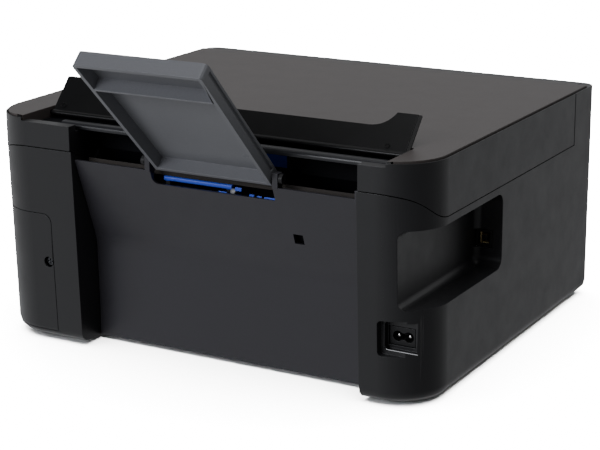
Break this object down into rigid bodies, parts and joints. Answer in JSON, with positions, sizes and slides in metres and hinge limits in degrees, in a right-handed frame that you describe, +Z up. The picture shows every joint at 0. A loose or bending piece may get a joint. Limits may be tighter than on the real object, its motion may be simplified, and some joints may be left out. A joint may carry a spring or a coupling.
{
  "type": "inkjet printer",
  "caption": "All-in-one inkjet printer with flatbed scanner lid, leaning rear paper support, open feeder guard and recessed cable bay.",
  "frame": {"origin": "bottom centre of the box round the printer with its paper support raised, on the plane the feet stand on", "axes": "+Z up, +Y towards the rear where the paper support leans out, +X towards the maintenance cover's side"},
  "size_m": [0.375, 0.414, 0.2537],
  "materials": {
    "case_black": "fine moulded texture",
    "panel_black": "fine moulded texture",
    "lid_grey": "fine spark texture, slightly warm",
    "support_grey": "satin moulded",
    "guard_black": "satin",
    "inner_black": "plain moulded",
    "gloss_black": "polished",
    "steel": "zinc plated sheet",
    "rubber": "matte",
    "glass": "clear float glass",
    "foam": "white backing foam",
    "gear_white": "natural acetal",
    "board_green": "solder mask",
    "guide_blue": "moulded in colour",
    "ink_black": "label",
    "ink_cyan": "label",
    "ink_magenta": "label",
    "ink_yellow": "label"
  },
  "bodies": {
    "base": {"lower_case": "case_black", "rear_cover": "panel_black", "maintenance_cover": "case_black", "cover_screw": "steel", "maintenance_box": "inner_black", "front_frame": "case_black", "feeder_frame": "inner_black", "feed_guide": "guide_blue", "drive_belt": "rubber", "feed_motor": "steel", "chassis": "steel", "platen": "inner_black", "cap_station": "inner_black", "carriage_rail": "steel", "carriage_belt": "rubber", "carriage_motor": "steel", "power_inlet": "inner_black", "usb_port": "inner_black", "power_supply": "inner_black", "main_board": "board_green", "foot_front_left": "rubber", "foot_front_right": "rubber", "foot_rear_left": "rubber", "foot_rear_right": "rubber"},
    "scanner_unit": {"scanner_housing": "case_black", "scan_glass": "glass", "scan_rail": "steel", "cross_rail": "gloss_black", "lid_hinge_left": "inner_black", "lid_hinge_right": "inner_black"},
    "lid": {"document_cover": "lid_grey", "lid_pad": "foam"},
    "guard": {"feeder_guard": "guard_black"},
    "scan_carriage": {"scan_bar": "inner_black"},
    "support": {"paper_support": "support_grey", "support_pin_left": "inner_black", "support_pin_right": "inner_black"},
    "hopper": {"hopper_plate": "inner_black"},
    "guide_left": {"edge_guide_left": "inner_black"},
    "guide_right": {"edge_guide_right": "inner_black"},
    "pickup": {"pickup_shaft": "steel", "pickup_roller": "rubber"},
    "feed": {"feed_roller": "steel", "feed_gear": "gear_white"},
    "exit": {"exit_roller": "rubber"},
    "pinion": {"motor_pinion": "gear_white"},
    "print_carriage": {"carriage": "inner_black", "cartridge_black": "ink_black", "cartridge_cyan": "ink_cyan", "cartridge_magenta": "ink_magenta", "cartridge_yellow": "ink_yellow"},
    "pulley_drive": {"drive_pulley": "gear_white"},
    "pulley_idler": {"idler_pulley": "gear_white"},
    "tray": {"output_tray": "case_black"},
    "extension": {"tray_extension": "case_black"},
    "stop": {"tray_stop": "case_black"},
    "panel": {"control_panel": "case_black", "display": "gloss_black"},
    "power_key": {"power_button": "support_grey"},
    "start_key": {"start_button": "support_grey"}
  },
  "joints": [
    {"name": "scanner_lift", "type": "hinge", "parent": "base", "child": "scanner_unit", "pos_m": [0, 0.11898, 0.1576], "axis": [-1, 0, 0], "range_deg": [0, 30]},
    {"name": "lid_lift", "type": "hinge", "parent": "scanner_unit", "child": "lid", "pos_m": [0, 0.11498, 0.1789], "axis": [-1, 0, 0], "range_deg": [0, 55]},
    {"name": "guard_fold", "type": "hinge", "parent": "lid", "child": "guard", "pos_m": [0, 0.07998, 0.176], "axis": [-1, 0, 0], "range_deg": [0, 124]},
    {"name": "scan_travel", "type": "slide", "parent": "scanner_unit", "child": "scan_carriage", "axis": [1, 0, 0], "range_m": [0, 0.3]},
    {"name": "support_tilt", "type": "hinge", "parent": "base", "child": "support", "pos_m": [0, 0.11188, 0.1569], "axis": [1, 0, 0], "range_deg": [0, 10]},
    {"name": "hopper_lift", "type": "hinge", "parent": "base", "child": "hopper", "pos_m": [0, 0.09648, 0.1468], "axis": [-1, 0, 0], "range_deg": [0, 4]},
    {"name": "guide_left_slide", "type": "slide", "parent": "hopper", "child": "guide_left", "axis": [-1, 0, 0], "range_m": [0, 0.06]},
    {"name": "guide_right_slide", "type": "slide", "parent": "hopper", "child": "guide_right", "axis": [1, 0, 0], "range_m": [0, 0.06]},
    {"name": "pickup_spin", "type": "hinge", "parent": "base", "child": "pickup", "pos_m": [0, 0.01768, 0.1023], "axis": [1, 0, 0], "continuous": true},
    {"name": "feed_spin", "type": "hinge", "parent": "base", "child": "feed", "pos_m": [0, -0.02002, 0.066], "axis": [1, 0, 0], "continuous": true},
    {"name": "exit_spin", "type": "hinge", "parent": "base", "child": "exit", "pos_m": [0, -0.13702, 0.066], "axis": [1, 0, 0], "continuous": true},
    {"name": "pinion_spin", "type": "hinge", "parent": "base", "child": "pinion", "pos_m": [0, -0.02002, 0.0446], "axis": [1, 0, 0], "continuous": true},
    {"name": "carriage_travel", "type": "slide", "parent": "base", "child": "print_carriage", "axis": [-1, 0, 0], "range_m": [0, 0.215]},
    {"name": "drive_pulley_spin", "type": "hinge", "parent": "base", "child": "pulley_drive", "pos_m": [0.16, -0.03202, 0.112], "axis": [0, 1, 0], "continuous": true},
    {"name": "idler_pulley_spin", "type": "hinge", "parent": "base", "child": "pulley_idler", "pos_m": [-0.16, -0.03202, 0.112], "axis": [0, 1, 0], "continuous": true},
    {"name": "tray_pull", "type": "slide", "parent": "base", "child": "tray", "axis": [0, -1, 0], "range_m": [0, 0.12]},
    {"name": "extension_pull", "type": "slide", "parent": "tray", "child": "extension", "axis": [0, -1, 0], "range_m": [0, 0.1]},
    {"name": "stop_flip", "type": "hinge", "parent": "extension", "child": "stop", "pos_m": [0, -0.19942, 0.0304], "axis": [1, 0, 0], "range_deg": [0, 100]},
    {"name": "panel_tilt", "type": "hinge", "parent": "base", "child": "panel", "pos_m": [0, -0.20552, 0.1484], "axis": [-1, 0, 0], "range_deg": [0, 45]},
    {"name": "power_press", "type": "slide", "parent": "panel", "child": "power_key", "axis": [0, 1, 0], "range_m": [0, 0.0012], "stiffness_N_per_m": 400},
    {"name": "start_press", "type": "slide", "parent": "panel", "child": "start_key", "axis": [0, 1, 0], "range_m": [0, 0.0012], "stiffness_N_per_m": 400}
  ],
  "couplings": [
    {"joint": "guide_right_slide", "follows": "guide_left_slide", "ratio": 1},
    {"joint": "exit_spin", "follows": "feed_spin", "ratio": 1},
    {"joint": "pinion_spin", "follows": "feed_spin", "ratio": -2.5},
    {"joint": "drive_pulley_spin", "follows": "carriage_travel", "rad_per_m": 147.06},
    {"joint": "idler_pulley_spin", "follows": "carriage_travel", "rad_per_m": 147.06}
  ]
}
